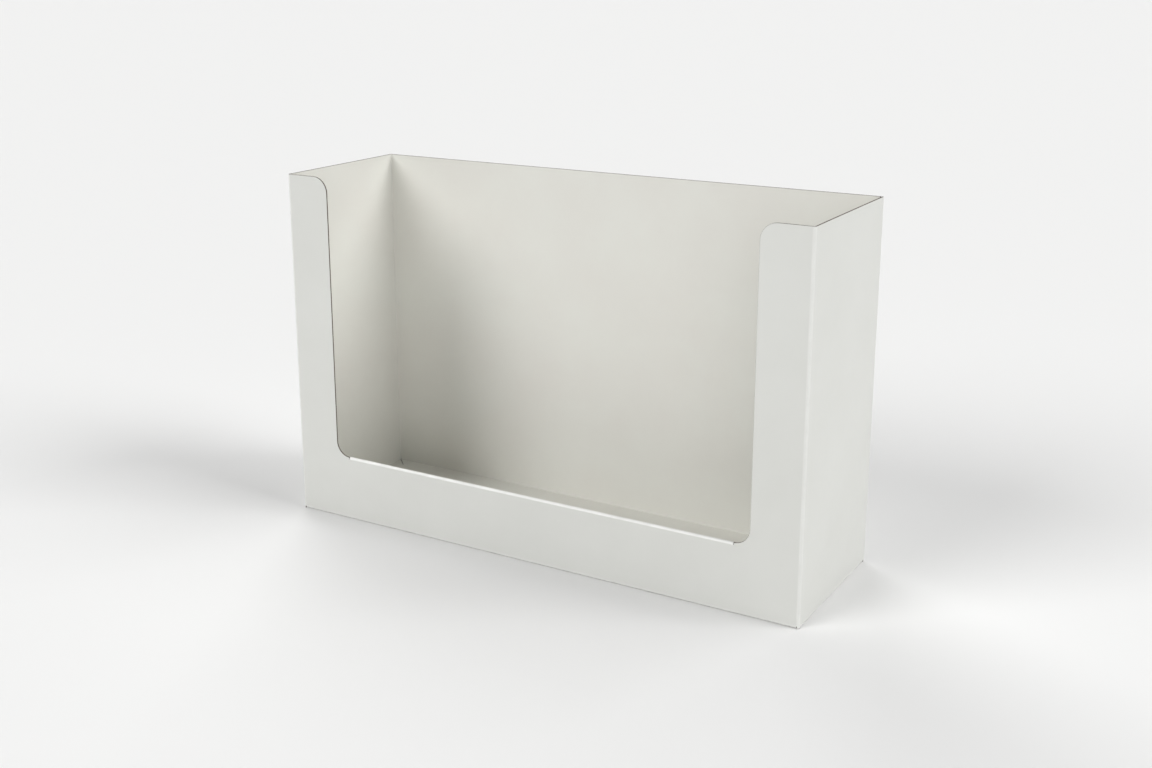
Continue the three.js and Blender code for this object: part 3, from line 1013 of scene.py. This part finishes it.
@dataclass
class Studio:
    """A pale floor, an even dome of light and soft lamps, each far enough away to light all of it alike."""

    floor_radius: float = 40.0
    floor_drop: float = 0.15 * MM
    floor_rings: int = 24
    floor_sides: int = 96
    floor_color: Color = (0.84, 0.84, 0.835)
    floor_roughness: float = 0.9
    backdrop_color: Color = (0.87, 0.87, 0.87)
    dome_strength: float = 0.05
    lamps: tuple[Lamp, ...] = (
        Lamp("front_left_lamp", azimuth=330, elevation=35, strength=1.67, width=34),
        Lamp("right_lamp", azimuth=100, elevation=35, strength=1.66, width=34),
        Lamp("back_left_lamp", azimuth=225, elevation=32, strength=1.28, width=40),
        Lamp("back_right_lamp", azimuth=135, elevation=50, strength=0.60, width=36),
        Lamp("low_front_lamp", azimuth=30, elevation=12, strength=0.62, width=32),
    )

    def build(self) -> None:
        """Makes the floor, the dome and the lights."""
        self.floor()
        self.dome()
        for lamp in self.lamps:
            lamp.build()

    def floor(self) -> None:
        """A round floor: rings of points at radius * t^3, closed at the middle."""
        t = np.linspace(0, 1, self.floor_rings + 1)[1:]
        turn = np.linspace(0, 2 * np.pi, self.floor_sides, endpoint=False)
        radius, angle = np.meshgrid(self.floor_radius * t**3, turn, indexing="ij")
        rings = np.stack([radius * np.cos(angle), radius * np.sin(angle), np.zeros_like(radius)], axis=-1)
        places = np.concatenate([[[0, 0, 0]], rings.reshape(-1, 3)]) - [0, 0, self.floor_drop]
        index = 1 + np.arange(radius.size).reshape(radius.shape)
        onward = np.roll(index, -1, axis=1)
        inner = np.stack([np.zeros_like(index[0]), index[0], onward[0]], axis=1)
        quads = np.stack([index[:-1], index[1:], onward[1:], onward[:-1]], axis=-1).reshape(-1, 4)
        mesh = new_mesh("floor", places, [inner, quads], np.zeros(len(inner) + len(quads), int))
        material, nodes = new_material("plain_floor")
        nodes.shade((*self.floor_color, 1), self.floor_roughness, specular=0.0)
        mesh.materials.append(material)
        floor = bpy.data.objects.new("floor", mesh)
        bpy.context.scene.collection.objects.link(floor)

    def dome(self) -> None:
        """An even light from all sides, before a backdrop as bright as the floor."""
        world = bpy.data.worlds.new("dome")
        world.use_nodes = True
        nodes = Nodes(world.node_tree)
        seen = nodes.add("LightPath").outputs["Is Camera Ray"]
        strength = nodes.ramp(seen, (0, 1), (self.dome_strength, 1))
        back = nodes.add("Background", {"Color": (*self.backdrop_color, 1), "Strength": strength})
        nodes.add("OutputWorld", {"Surface": back.outputs[0]})
        bpy.context.scene.world = world
        bpy.context.scene.view_settings.view_transform = "Standard"


@dataclass
class Viewpoint:
    """The photograph's camera, solved from the box's corners."""

    place: tuple[float, float, float] = (0.36575, -0.62131, 0.30551)
    ahead: tuple[float, float, float] = (-0.49423, 0.83169, -0.25305)
    roll: float = -0.097
    lens: float = 44.67
    shift: Span = (0.0092, -0.0523)
    sensor_width: float = 36
    clip: Span = (0.01, 200)

    def build(self) -> None:
        """Makes the camera and sets it as the scene's."""
        data = bpy.data.cameras.new("camera")
        data.lens = self.lens
        data.sensor_width = self.sensor_width
        data.shift_x, data.shift_y = self.shift
        data.clip_start, data.clip_end = self.clip
        camera = bpy.data.objects.new("camera", data)
        turn = Vector(self.ahead).to_track_quat("-Z", "Y").to_matrix().to_4x4()
        roll = Matrix.Rotation(math.radians(self.roll), 4, "Z")
        camera.matrix_world = Matrix.Translation(self.place) @ turn @ roll
        bpy.context.scene.collection.objects.link(camera)
        bpy.context.scene.camera = camera


# The outer coat's fold colour is partly whitening of the stretched coat and partly a painted highlight,
# strongest along the hem's fold.
OUTER_COAT = PaperFace(
    name="coated_outer_face",
    color=(0.70, 0.705, 0.675),
    cloud_color=(0.675, 0.68, 0.648),
    fold_color=(0.96, 0.96, 0.94),
    roughness=0.5,
    roughness_spread=0.06,
    fibre_depth=0.012 * MM,
    waviness=0.05 * MM,
    fold_light=0.95,
)
# The inner face's fold colour makes its folds a little darker.
INNER_FACE = PaperFace(
    name="uncoated_inner_face",
    color=(0.768, 0.768, 0.72),
    cloud_color=(0.748, 0.736, 0.69),
    fold_color=(0.72, 0.71, 0.67),
    roughness=0.75,
    roughness_spread=0.08,
    fibre_depth=0.03 * MM,
    waviness=0.06 * MM,
    fold_light=0.3,
)


def main() -> None:
    """Builds the camera, the studio and the box."""
    Viewpoint().build()
    studio = Studio()
    studio.build()
    log.info("studio: floor, dome and %d lamps", len(studio.lamps))
    effects = BoardEffects()
    finishes = {
        Face.OUTSIDE: OUTER_COAT.build(effects),
        Face.INSIDE: INNER_FACE.build(effects),
        Face.CUT_EDGE: CutEdge().build(effects),
    }
    box = FoldedBox().build(finishes)
    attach(box, "root")
    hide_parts("folded_box")
    log.info("%s: %d polygons", box.name, len(box.data.polygons))
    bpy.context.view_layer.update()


if __name__ == "__main__":
    main()
